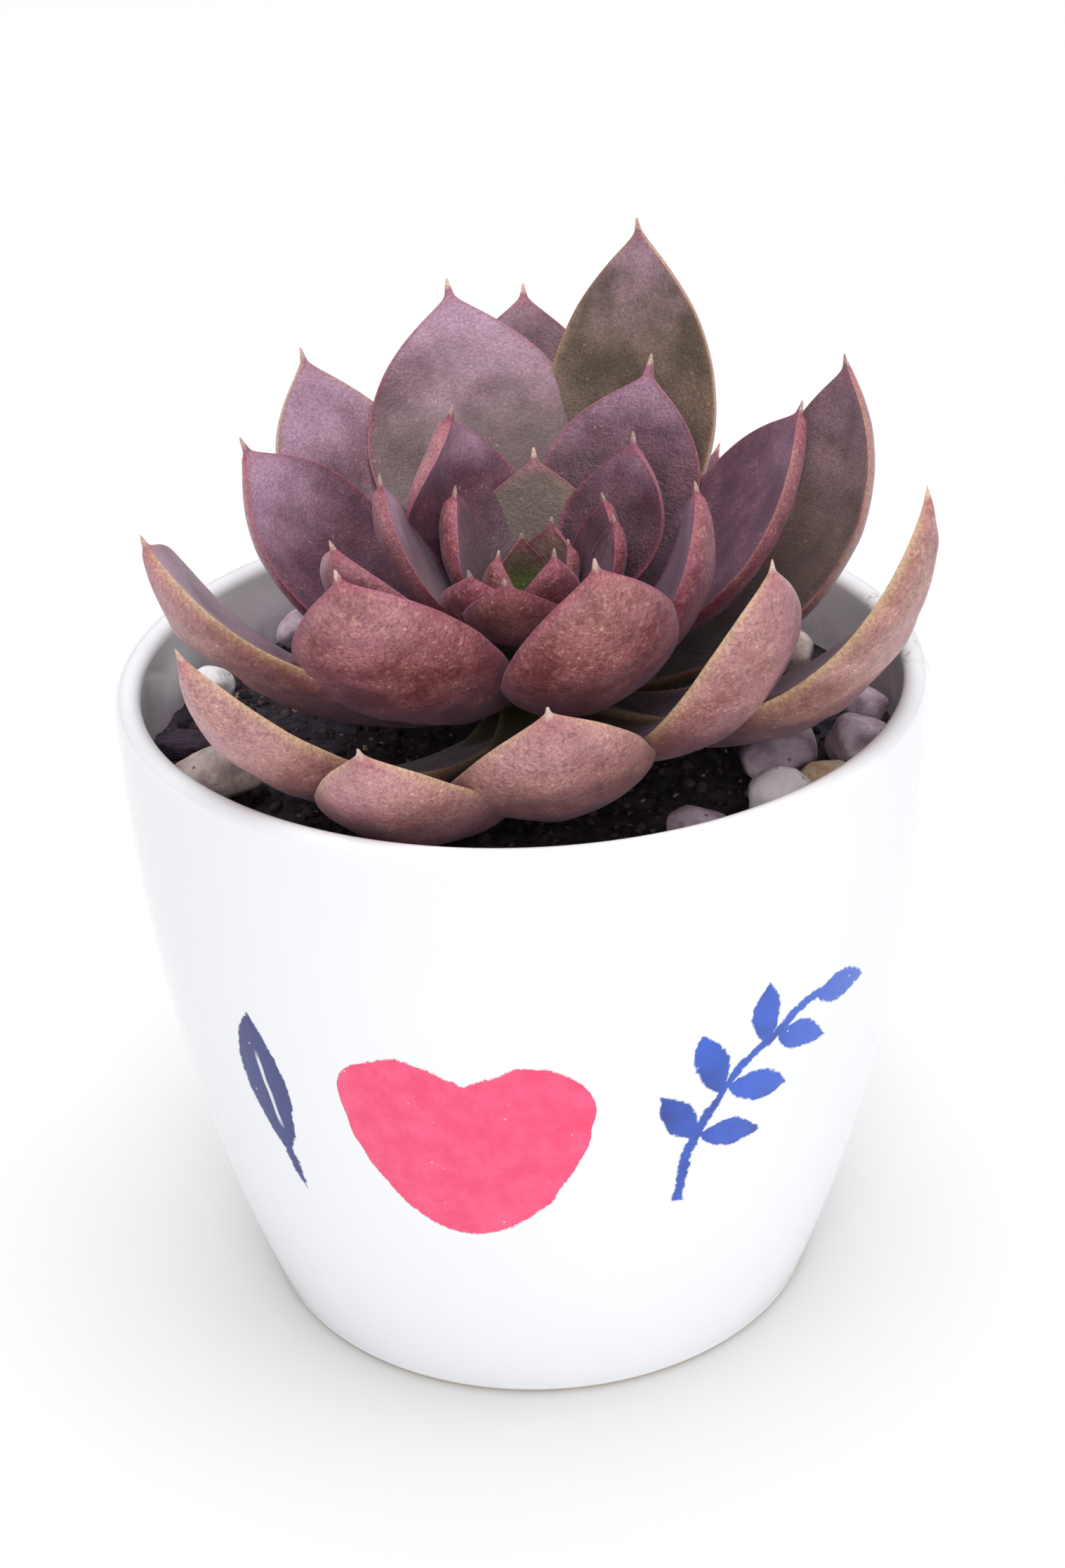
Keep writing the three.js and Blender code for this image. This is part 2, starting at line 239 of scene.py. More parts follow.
def closed_skin(name, rings, finish, **shares):
    """A closed piece over rings of points, of shape (rings, points round, 3): quads join each
    ring to the next, and the first and last ring are drawn together into a point. Faces turn so
    that the volume inside, the sum of a . (b x c) over the triangles, is positive. shares are
    numbers at the points, of shape (rings, points round), that the finish reads."""
    count, around = rings.shape[:2]
    points = np.vstack([rings[0].mean(0), rings[1:-1].reshape(-1, 3), rings[-1].mean(0)])
    near = 1 + np.arange((count - 2) * around).reshape(count - 2, around)
    ahead = np.roll(near, -1, axis=1)
    quads = np.stack([near[:-1], ahead[:-1], ahead[1:], near[1:]], -1).reshape(-1, 4)
    first = np.stack([np.zeros(around, int), ahead[0], near[0]], -1)
    last = np.stack([np.full(around, len(points) - 1), near[-1], ahead[-1]], -1)
    triangles = np.vstack([quads[:, :3], quads[:, [0, 2, 3]], first, last])
    a, b, c = np.moveaxis(points[triangles], 1, 0)
    if np.einsum("ij,ij->", a, np.cross(b, c)) < 0:
        quads, first, last = quads[:, ::-1], first[:, ::-1], last[:, ::-1]
    mesh = bpy.data.meshes.new(name)
    mesh.from_pydata(points.tolist(), [], [*quads.tolist(), *first.tolist(), *last.tolist()])
    mesh.shade_smooth()
    for key, value in shares.items():
        full = np.broadcast_to(value, (count, around))
        flat = np.concatenate([full[0, :1], full[1:-1].ravel(), full[-1, :1]])
        carried = mesh.attributes.new(key, "FLOAT", "POINT")
        carried.data.foreach_set("value", flat.astype(np.float32))
    mesh.materials.append(finish.material)
    piece = bpy.data.objects.new(name, mesh)
    bpy.context.collection.objects.link(piece)
    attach(piece, "root")
    return piece


def turned(radii, heights, around):
    """Rings about the Z axis, one for each radius and height."""
    turn = np.linspace(0, 2 * np.pi, around, endpoint=False)
    x = radii[:, None] * np.cos(turn)
    y = radii[:, None] * np.sin(turn)
    return np.stack([x, y, np.broadcast_to(heights[:, None], x.shape)], -1)


# The profile runs from the middle of the underside over the bare foot ring, up the outside,
# over the lip as a half circle, and down the inside into a rounded corner.
FOOT_RECESS = 0.5 * MM
FOOT_EDGE = 0.9 * MM
LIP = WALL / 2
CORNER = 3 * MM
quarter = np.linspace(0, np.pi / 2, 9)
edge_r = wall_radius(FOOT_EDGE) - FOOT_EDGE + FOOT_EDGE * np.sin(quarter)
edge_z = FOOT_EDGE - FOOT_EDGE * np.cos(quarter)
out_z = np.linspace(FOOT_EDGE + 0.2 * MM, POT_HEIGHT - LIP, 64)
lip_turn = np.linspace(0, np.pi, 15)[1:-1]
lip_r = wall_radius(POT_HEIGHT - LIP) - LIP + LIP * np.cos(lip_turn)
lip_z = POT_HEIGHT - LIP + LIP * np.sin(lip_turn)
in_z = np.linspace(POT_HEIGHT - LIP, POT_FLOOR + CORNER, 40)
corner_middle = wall_radius(POT_FLOOR + CORNER) - WALL - CORNER
corner_r = corner_middle + CORNER * np.cos(quarter[1:])
corner_z = POT_FLOOR + CORNER - CORNER * np.sin(quarter[1:])
under_r = np.array([0, 10, 18, 21.2, 21.6, 22.2, 23.4]) * MM
under_z = np.array([1, 1, 1, 0.9, 0.4, 0, 0]) * FOOT_RECESS
out_r = wall_radius(out_z)
in_r = wall_radius(in_z) - WALL
floor_r = np.array([12, 0]) * MM
floor_z = np.full(2, POT_FLOOR)
pot_r = np.concatenate([under_r, edge_r, out_r, lip_r, in_r, corner_r, floor_r])
pot_z = np.concatenate([under_z, edge_z, out_z, lip_z, in_z, corner_z, floor_z])

glaze = Finish("glazed_ceramic", Roughness=0.2, IOR=1.5, Coat_Weight=0.3, Coat_Roughness=0.12)
where = glaze.place()
split = {"Vector": where}
x, y, z = (glaze.node("ShaderNodeSeparateXYZ", {}, split, output=axis) * 1000 for axis in "XYZ")

# Like x, y and z, where a brush stroke lies is in millimetres: u round the pot from its front, v
# up it. The hand shakes a little and the bristles leave a ragged edge.
PAINTED_RADIUS = 36
shake = glaze.noise(where, 5 * MM, 1.0) - 0.5
bristle = glaze.noise(where, 0.6 * MM, 3.0, 0.7) - 0.5
u = x.maths("ARCTAN2", x, y * -1) * PAINTED_RADIUS + shake * 1.6
v = z + shake * -1.2

# The heart. From half way out its lobes fall as quarter circles to the level where they are
# widest, and they dip by a power to the notch in the middle. Below that level the sides close in
# on the point, as a power of 1 minus the square of how far across it is. heart is how far inside
# the outline a place is.
HEART_LEFT = 6.45
HEART_HALF = 11.45
HEART_LEVEL = 37.8
LOBE_RISE = 5.9
NOTCH_DIP = 2.1
POINT_DROP = 14.1
SIDE_STEEPNESS = 30
BRUSH_EDGE = 0.12
across = abs(u + HEART_LEFT) / HEART_HALF
top = HEART_LEVEL + LOBE_RISE * (1 - ((across - 0.5) * 2).most(0) ** 2).most(0) ** 0.5
top = top - NOTCH_DIP * (1 - across * 2).most(0) ** 1.3
bottom = HEART_LEVEL - POINT_DROP * (1 - across**2).most(0) ** 0.7
heart = (top - v).least(v - bottom).least((1 - across) * SIDE_STEEPNESS)
heart = (heart + bristle * 0.9).rising(-BRUSH_EDGE, BRUSH_EDGE)


def brushed_leaf(base, tip, width):
    """How far inside a painted leaf, in mm: half its width times 1 minus the square of how far
    along it is from its middle, less how far to the side."""
    middle = (np.array(base) + tip) / 2
    half = math.dist(base, tip) / 2
    ux, uy = (np.array(tip) - middle) / half
    along = (u - float(middle[0])) * float(ux / half) + (v - float(middle[1])) * float(uy / half)
    aside = (v - float(middle[1])) * float(ux) - (u - float(middle[0])) * float(uy)
    return width / 2 * (1 - along * along) - abs(aside), abs(aside)


# One painted leaf a row: its base and its tip, each as u and v, and its width. The sprout is a
# single leaf on a short stalk, and the sprig is seven leaves along a curved one.
SPROUT = [((-25.6, 28.4), (-27.6, 44.2), 5.2), ((-24.4, 24.4), (-26.2, 31.5), 1.1)]
SPRIG = [
    ((14.4, 32.8), (10.8, 38.6), 3.0),
    ((16.6, 37.2), (14.6, 44.2), 3.2),
    ((20.8, 41.2), (20.8, 47.8), 3.0),
    ((14.6, 33.2), (21.0, 31.4), 3.0),
    ((17.2, 37.8), (24.0, 35.4), 3.2),
    ((21.8, 41.9), (28.2, 38.8), 3.0),
    ((26.6, 43.8), (33.6, 42.6), 3.2),
]
leaves, midrib = brushed_leaf(*SPROUT[0])
for stroke in SPROUT[1:] + SPRIG:
    leaves = leaves.most(brushed_leaf(*stroke)[0])

# The sprig's stalk is a stretch of a circle's line, cut off at its foot and on both sides.
STALK_MIDDLE = (30.5, 27)
STALK_RADIUS = 17.3
STALK_HALF = 0.5
STALK_FOOT, STALK_LEFT, STALK_RIGHT = 25.4, 11, 28.5
stalk_u, stalk_v = u - STALK_MIDDLE[0], v - STALK_MIDDLE[1]
stalk = STALK_HALF - abs((stalk_u * stalk_u + stalk_v * stalk_v) ** 0.5 - STALK_RADIUS)
stalk = stalk.least(STALK_RIGHT - u).least(v - STALK_FOOT).least(u - STALK_LEFT)
navy = (leaves.most(stalk) + bristle * 0.8).rising(-BRUSH_EDGE, BRUSH_EDGE)

# A thin vein is left white along the middle of the sprout's leaf.
VEIN_LOW, VEIN_HIGH, VEIN_HALF = 31.5, 40.0, 0.3
VEIN_RIGHT = -15
vein = (VEIN_HALF - midrib).rising(0, 0.16) * (VEIN_HIGH - v).rising(0, 1.5)
vein = vein * (v - VEIN_LOW).rising(0, 1.5) * (VEIN_RIGHT - u).rising(0, 1)
navy = navy * (1 - vein * 0.85)

streaks = glaze.noise(where, 2.2 * MM, 4.0, 0.65)
missed = (0.1 - glaze.grains(where, 1.5 * MM)).rising(0, 0.05) * streaks.rising(0.52, 0.6)
# The blue paint is darker at the left and paler towards the right.
navy_paler_rightward = (u * 0.028 + shake * 1.2 + streaks * 0.5).rising(0.1, 1.1)
navy_paint = glaze.mix(navy_paler_rightward, tint(14, 34, 118), tint(40, 92, 206))
pink_paint = glaze.mix(streaks.rising(0.3, 0.75), tint(244, 62, 112), tint(252, 86, 134))
white = glaze.mix(glaze.noise(where, 25 * MM), tint(243, 245, 250), tint(249, 250, 252))

# Damp soil has stained the inside above the soil line, dust lies on the rim at the right, and
# the glaze ends just above the foot ring. Heights and places are in mm.
STAIN_TOP = 61.5
DUST_LOW = 62.5
DUST_LEFT, DUST_FRONT, DUST_BACK = 27, -6, 14
BARE_TOP = 0.62
inside = glaze.share("inside")
smear = glaze.noise(where, 4 * MM, 4.0, 0.65)
stain = inside * (STAIN_TOP - z + (smear - 0.5) * 5).rising(0, 6)
stain = stain * smear.rising(0.38, 0.62) * 0.55
dust = (z - DUST_LOW).rising(0, 1.5) * (x - DUST_LEFT).rising(0, 6)
dust = dust * (y - DUST_FRONT).rising(0, 4) * (DUST_BACK - y).rising(0, 4)
dust = dust * glaze.noise(where, 1.1 * MM, 4.0, 0.7).rising(0.52, 0.64) * 0.6
bare = (BARE_TOP - z).rising(0, 0.2)
colour = glaze.mix(heart * (1 - missed * 0.5), white, pink_paint)
colour = glaze.mix(navy * (1 - missed), colour, navy_paint)
colour = glaze.mix(stain, colour, tint(206, 170, 194))
colour = glaze.mix(dust, colour, tint(150, 122, 100))
colour = glaze.mix(bare, colour, tint(226, 216, 202))
glaze.feed("Base Color", colour)
painted = heart.most(navy)
glaze.feed("Roughness", 0.14 + painted * 0.22 + (stain + dust + bare) * 0.5)
ripple = glaze.noise(where, 9 * MM, 1.0) * 0.5 + bristle * painted * 0.25 + painted * 0.5
glaze.relief(ripple + bare * glaze.noise(where, 0.4 * MM, 3.0), 0.12 * MM)

past_lip = len(under_r) + len(edge_r) + len(out_r) + len(lip_r)
inside_share = (np.arange(len(pot_r)) >= past_lip).astype(float)[:, None]
pot = closed_skin("glazed_pot", turned(pot_r, pot_z, around=200), glaze, inside=inside_share)
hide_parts("pot")


# Soil
# Black peat mixed with grit, firmed round the stem to 9 mm below the rim. Its top is crumbly:
# loose crumbs and pale grit lie on it, and fine root hairs show.

SOIL_RELIEF = 0.8 * MM
LATTICE = 24


def hills(points, size, seed):
    """Smooth heights from -1 to 1 with hills about size apart: random numbers at the corners of
    a lattice of cubes, which repeats, blended across each cube by smooth steps."""
    cell = np.floor(points / size).astype(int)
    share = points / size - cell
    share = share * share * (3 - 2 * share)
    corners = np.random.default_rng(seed).uniform(-1, 1, (LATTICE,) * 3)
    height = 0
    for step in np.ndindex(2, 2, 2):
        weight = np.abs(1 - np.array(step) - share).prod(-1)
        i, j, k = np.moveaxis(cell + step, -1, 0) % LATTICE
        height = height + weight * corners[i, j, k]
    return height


def soil_height(flat):
    """Height of the soil at points of a plane: low mounds with clods on them."""
    level = flat * (1, 1, 0)
    mounds = hills(level, 7 * MM, 1) * 0.5 + hills(level, 2.2 * MM, 2) * 0.35
    mounds = mounds + hills(level, 0.9 * MM, 3) * 0.2
    return SOIL_TOP + SOIL_RELIEF * mounds


# The bed runs from the middle of its underside out to the wall, up it, and back over the top to
# the axis. It bites a little into the pot, so that no gap shows round it.
SOIL_BITE = 0.1 * MM
side_z = np.linspace(POT_FLOOR + 0.2 * MM, SOIL_TOP - 1 * MM, 12)
side_r = wall_radius(side_z) - WALL + SOIL_BITE
top_r = np.linspace(wall_radius(SOIL_TOP) - WALL + SOIL_BITE, 0, 90)
soil_r = np.concatenate([[0], side_r, top_r])
soil_z = np.concatenate([side_z[:1], side_z, np.full(len(top_r), SOIL_TOP)])
soil_rings = turned(soil_r, soil_z, around=220)
first_top = 1 + len(side_r)
soil_rings[first_top:, :, 2] = soil_height(soil_rings[first_top:])

peat = Finish("potting_soil", Roughness=0.9, Specular_IOR_Level=0.3)
where = peat.place()
clods = peat.noise(where, 1.6 * MM, 6.0, 0.7)
grit = (0.24 - peat.grains(where, 1.3 * MM)).rising(0, 0.05)
grit = grit * peat.noise(where, 6 * MM).rising(0.56, 0.62)
colour = peat.mix(clods.rising(0.3, 0.75), tint(24, 22, 32), tint(80, 70, 80))
peat.feed("Base Color", peat.mix(grit, colour, tint(150, 128, 118)))
peat.feed("Roughness", 0.75 + clods * 0.25)
peat.relief(clods, 0.5 * MM)

soil = closed_skin("soil_bed", soil_rings, peat)
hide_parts("soil")

# The crumbs lie evenly over the soil outside the stem. Most are small, because their size grows
# with the cube of a random share.
CRUMBS = 2200
CRUMB_ROUND = 7
draw = np.random.default_rng(7)
spot_r = (wall_radius(SOIL_TOP) - WALL - 0.8 * MM) * np.sqrt(draw.uniform(0.04, 1, CRUMBS))
spot_turn = draw.uniform(0, 2 * np.pi, CRUMBS)
spot = np.stack([spot_r * np.cos(spot_turn), spot_r * np.sin(spot_turn), spot_r * 0], -1)
spot[:, 2] = soil_height(spot)
crumb_size = (0.22 + 0.62 * draw.uniform(0, 1, CRUMBS) ** 3) * MM


def crumb_field(name, spots, sizes, finish, draw):
    """Many small lumps as one mesh. Each is a ball of three rings of seven points and two ends,
    its points pushed in and out at random, turned at random and moved to its spot. A random
    shade from 0 to 1 goes with each."""
    rise = np.repeat([0.72, 0.0, -0.72], CRUMB_ROUND)
    turn = np.tile(np.arange(CRUMB_ROUND) * 2 * np.pi / CRUMB_ROUND, 3)
    across = np.sqrt(1 - rise**2)
    ball = np.stack([np.cos(turn) * across, np.sin(turn) * across, rise], -1)
    ball = np.vstack([[0, 0, 1], ball, [0, 0, -1]])
    rough = draw.uniform(0.7, 1.15, (len(spots), len(ball), 1))
    rough = rough * draw.uniform(0.6, 1.25, (len(spots), 1, 3))
    basis = np.linalg.qr(draw.normal(size=(len(spots), 3, 3)))[0]
    basis *= np.linalg.det(basis)[:, None, None]
    points = (ball * rough * sizes[:, None, None]) @ basis + spots[:, None]
    near = 1 + np.arange(3 * CRUMB_ROUND).reshape(3, CRUMB_ROUND)
    ahead = np.roll(near, -1, axis=1)
    top = np.stack([near[0] * 0, near[0], ahead[0]], -1)
    low = np.stack([near[0] * 0 + len(ball) - 1, ahead[2], near[2]], -1)
    left = np.stack([near[:-1], near[1:], ahead[1:]], -1).reshape(-1, 3)
    right = np.stack([near[:-1], ahead[1:], ahead[:-1]], -1).reshape(-1, 3)
    faces = np.vstack([top, low, left, right])[None]
    faces = faces + len(ball) * np.arange(len(spots))[:, None, None]
    mesh = bpy.data.meshes.new(name)
    mesh.from_pydata(points.reshape(-1, 3).tolist(), [], faces.reshape(-1, 3).tolist())
    mesh.shade_smooth()
    shades = np.repeat(draw.uniform(0, 1, len(spots)), len(ball))
    carried = mesh.attributes.new("shade", "FLOAT", "POINT")
    carried.data.foreach_set("value", shades.astype(np.float32))
    mesh.materials.append(finish.material)
    piece = bpy.data.objects.new(name, mesh)
    bpy.context.collection.objects.link(piece)
    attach(piece, "root")
    return piece


crumb = Finish("soil_crumbs", Roughness=0.9, Specular_IOR_Level=0.3)
shade = crumb.share("shade")
fine = crumb.noise(crumb.place(), 0.5 * MM, 4.0, 0.7)
colour = crumb.mix((shade * 0.8 + fine * 0.3).rising(0.1, 0.95), tint(22, 19, 26), tint(92, 74, 76))
colour = crumb.mix(shade.rising(0.93, 0.95), colour, tint(176, 146, 126))
crumb.feed("Base Color", colour)
crumb.feed("Roughness", 0.75 + fine * 0.25)
crumb.relief(fine, 0.2 * MM)
crumb_field("loose_crumbs", spot, crumb_size, crumb, draw)

# One root hair a row: the x and y where it starts in mm, and its heading in degrees.
ROOT_HAIRS = [
    (12, -29, 150),
    (17, -27, 95),
    (20, -24, 190),
    (-4, -30, 20),
    (-21, -23, 60),
    (24, -17, 120),
]
HAIR_LENGTH = 7
root = Finish("root_hair", Roughness=0.7)
length_noise = root.noise(root.place(), 0.8 * MM)
root.feed("Base Color", root.mix(length_noise, tint(128, 98, 84), tint(196, 168, 146)))
root.feed("Roughness", length_noise * 0.2 + 0.6)
root.relief(length_noise, 0.05 * MM)


def hair_rings(start, heading, seed):
    """Rings of 6 round a thin root on the soil: it runs on from its start by its length, its
    heading turned by hills of about half a turn, and its middle arches up to 1 mm by the sine of
    its run."""
    run = np.linspace(0, 1, 60)
    bends = hills(np.stack([run * HAIR_LENGTH, run * 0, run * 0], -1), 2.0, seed)
    turn = math.radians(heading) + 3 * bends
    steps = np.stack([np.cos(turn), np.sin(turn), turn * 0], -1)
    flat = steps.cumsum(0) * HAIR_LENGTH * MM / len(run) + start
    flat[:, 2] = soil_height(flat) + (0.1 + np.sin(np.pi * run)) * MM
    tangent = np.gradient(flat, axis=0)
    tangent /= np.linalg.norm(tangent, axis=-1, keepdims=True)
    side = np.cross(tangent, (0, 0, 1))
    up = np.cross(side, tangent)
    a = np.linspace(0, 2 * np.pi, 6, endpoint=False)[None, :, None]
    thick = (0.09 - 0.04 * run)[:, None, None] * MM
    return flat[:, None] + thick * (np.cos(a) * side[:, None] + np.sin(a) * up[:, None])


for i, (x_start, y_start, heading) in enumerate(ROOT_HAIRS, 1):
    start = np.array([x_start, y_start, 0]) * MM
    hair = closed_skin(f"root_hair_{i}", hair_rings(start, heading, 70 + i), root)


# Pebbles
# River stones dropped on the soil round the wall: beige, white, amber and grey ones, worn round
# but lumpy, dull and a little dusty.

# One stone a row: bearing from the pot's axis, how far out as a share of the farthest place
# where it fits, half its length, width and height in mm, heading, and its stone.
STONES = [
    (199, 0.98, 4.9, 3.4, 2.8, 10, "beige"),
    (321, 0.93, 3.8, 3.3, 3.0, 30, "white"),
    (332, 0.96, 3.2, 2.6, 2, 60, "amber"),
    (342, 0.84, 5.2, 3.6, 2.2, 65, "grey"),
    (348, 1.00, 3.8, 3.0, 2.6, 80, "grey"),
    (2, 1.00, 2.2, 1.8, 2.0, 0, "grey"),
    (306, 0.8, 3.4, 2.6, 1.6, 30, "grey"),
    (295, 0.80, 1.6, 1.3, 1.1, 0, "beige"),
    (134, 1.00, 3.4, 2.8, 2.4, 45, "grey"),
    (163, 1.00, 3.0, 2.4, 2.6, 70, "white"),
    (28, 0.95, 3.4, 2.6, 2.0, 110, "beige"),
    (72, 1.00, 3.2, 2.4, 2.0, 0, "grey"),
    (262, 1.00, 2.6, 2.2, 1.8, 90, "grey"),
    (228, 1.00, 2.8, 2.2, 1.6, 140, "beige"),
]
STONE_TINTS = {
    "beige": (tint(158, 138, 136), tint(216, 200, 192)),
    "white": (tint(240, 236, 240), tint(255, 254, 254)),
    "amber": (tint(232, 190, 146), tint(250, 236, 214)),
    "grey": (tint(156, 134, 150), tint(216, 196, 210)),
}


def stone_finish(kind):
    """Dull stone: pale and dark clouds and small dark pits."""
    finish = Finish(f"{kind}_stone", Roughness=0.7, Specular_IOR_Level=0.35)
    dark, pale = STONE_TINTS[kind]
    where = finish.place()
    cloud = finish.noise(where, 2.6 * MM, 5.0, 0.65)
    pits = (0.2 - finish.grains(where, 1.1 * MM)).rising(0, 0.1) * cloud.rising(0.45, 0.6)
    colour = finish.mix(cloud.rising(0.3, 0.7), dark, pale)
    finish.feed("Base Color", finish.mix(pits * 0.7, colour, tint(70, 56, 58)))
    finish.feed("Roughness", 0.5 + cloud * 0.4)
    finish.relief(cloud - pits * 0.3, 0.35 * MM)
    return finish


def unit_ball(count, around):
    """A ball of radius 1 as rings from pole to pole: across by the sine of the fall from the
    upper pole, and up by its cosine."""
    fall = np.linspace(0, np.pi, count)[:, None]
    turn = np.linspace(0, 2 * np.pi, around, endpoint=False)
    across = np.sin(fall)
    return np.stack([across * np.cos(turn), across * np.sin(turn), np.cos(fall) + turn * 0], -1)


STONE_CUTS = 18
CUT_SHARPNESS = 11
STONE_REACH = 1.12
STONE_SPREAD = 1.06


def stone_rings(length, width, height, seed):
    """A worn block. Random planes cut it: the distance out along a direction is the inverse of
    the 11th root of the sum of the 11th powers of its dot products with the planes' normals,
    each over that plane's distance, which rounds the edges. No corner goes beyond the reach, the
    spread brings the whole back to its size, and hills roughen it."""
    ball = unit_ball(44, 60)
    draw = np.random.default_rng(seed)
    normals = draw.normal(size=(STONE_CUTS, 3))
    normals /= np.linalg.norm(normals, axis=-1, keepdims=True)
    facing = (ball @ normals.T).clip(0) / draw.uniform(0.8, 1.02, STONE_CUTS)
    out = (facing**CUT_SHARPNESS).sum(-1) ** (-1 / CUT_SHARPNESS)
    out = np.minimum(out, STONE_REACH) / STONE_SPREAD
    rough = hills(ball + seed, 0.45, seed) * 0.035 + hills(ball + seed, 0.16, seed) * 0.014
    return ball * (out + rough)[..., None] * (length, width, height)


def headed(points, degrees):
    """Points turned about Z by a heading: x and y mixed by its cosine and sine."""
    turn = math.radians(degrees)
    c, s = math.cos(turn), math.sin(turn)
    return points @ np.array([[c, s, 0], [-s, c, 0], [0, 0, 1]])


SOIL_RADIUS = wall_radius(SOIL_TOP) - WALL - 0.3 * MM
stone_finishes = {kind: stone_finish(kind) for kind in STONE_TINTS}
for i, (bearing, share, length, width, height, heading, kind) in enumerate(STONES, 1):
    rings = headed(stone_rings(length * MM, width * MM, height * MM, 20 + i), heading)
    out = share * (SOIL_RADIUS - length * MM)
    rings += headed(np.array([out, 0, SOIL_TOP + height * MM]), bearing)
    stone = closed_skin(f"stone_{i:02d}", rings, stone_finishes[kind])
    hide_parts(f"pebble_{i:02d}")


# Bark chip
# A flake of dark conifer bark lying by the wall at the left, split along its grain.

CHIP = (6.5 * MM, 3.4 * MM, 1.8 * MM)
bark = Finish("bark", Roughness=0.75, Specular_IOR_Level=0.3)
where = bark.place()
stretched = bark.node("ShaderNodeMapping", {}, {"Vector": where, "Scale": (1.0, 5.0, 4.0)})
grain = bark.noise(stretched, 1.6 * MM, 5.0, 0.7)
bark.feed("Base Color", bark.mix(grain.rising(0.3, 0.7), tint(34, 28, 44), tint(84, 66, 84)))
bark.feed("Roughness", 0.5 + grain * 0.4)
bark.relief(grain, 0.4 * MM)

# A ball pulled out into a rounded box by a power of each coordinate. Its sides close in towards
# its ends, hills along the grain tear its edges and split its top, and it thins at one end.
ball = unit_ball(36, 72)
boxy = np.sign(ball) * np.abs(ball) ** 0.45
boxy[..., 1] *= 1 - 0.3 * boxy[..., 0] ** 2 + 0.12 * hills(boxy * (2, 0, 0) + 5, 0.5, 61)
boxy[..., 2] *= 1 + 0.25 * hills(boxy * (1.0, 6.0, 0) + 5, 0.8, 62) - 0.3 * boxy[..., 0]
chip_rings = boxy * np.array(CHIP) / 2
chip_rings += (-(SOIL_RADIUS - CHIP[0] / 2), 0, SOIL_TOP + 0.3 * MM + CHIP[2] / 2)
chip = closed_skin("bark_flake", chip_rings, bark)
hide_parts("bark_chip")


# Stem
# A short woody stem, ringed with the scars of shed leaves, that ends in the soft green growing
# tip. The leaves hide all but the tip.

STEM_PLACE = np.array([1 * MM, 0, 0])
STEM_FOOT = SOIL_TOP - 14 * MM
STEM_TOP = SOIL_TOP + 13.5 * MM
STEM_RADIUS = 4.2 * MM
TIP_RADIUS = 2.3 * MM
SCAR_DEPTH = 0.03
SCAR_TURN = 2.4

# It narrows evenly from the soil to the start of the tip, which is half a ball, and a cosine of
# the height, turning by SCAR_TURN radians in a millimetre, rings it with scars.
tip_start = STEM_TOP - TIP_RADIUS
stem_z = np.linspace(STEM_FOOT, STEM_TOP, 60)
core_r = np.interp(stem_z, [SOIL_TOP, tip_start], [STEM_RADIUS, TIP_RADIUS])
dome = np.sqrt(np.clip(1 - ((stem_z - tip_start) / TIP_RADIUS).clip(0) ** 2, 0, 1))
stem_r = core_r * dome * (1 + SCAR_DEPTH * np.cos(stem_z / MM * SCAR_TURN))
stem_r[0] = 0
stem_rings = turned(stem_r, stem_z, around=60) + STEM_PLACE
green_wood = Finish("stem_bark", Roughness=0.6)
where = green_wood.place()
height = green_wood.node("ShaderNodeSeparateXYZ", {}, {"Vector": where}, output="Z")
flecks = green_wood.noise(where, 0.8 * MM, 4.0, 0.6)
young = (height + flecks * 2 * MM).rising(SOIL_TOP + 7 * MM, SOIL_TOP + 11 * MM)
woody = green_wood.mix(flecks, tint(86, 66, 54), tint(134, 108, 84))
fresh = green_wood.mix(flecks, tint(82, 92, 40), tint(120, 130, 66))
green_wood.feed("Base Color", green_wood.mix(young, woody, fresh))
green_wood.feed("Roughness", 0.5 + flecks * 0.3)
green_wood.relief(flecks, 0.2 * MM)
stem = closed_skin("stem_core", stem_rings, green_wood)
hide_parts("stem")
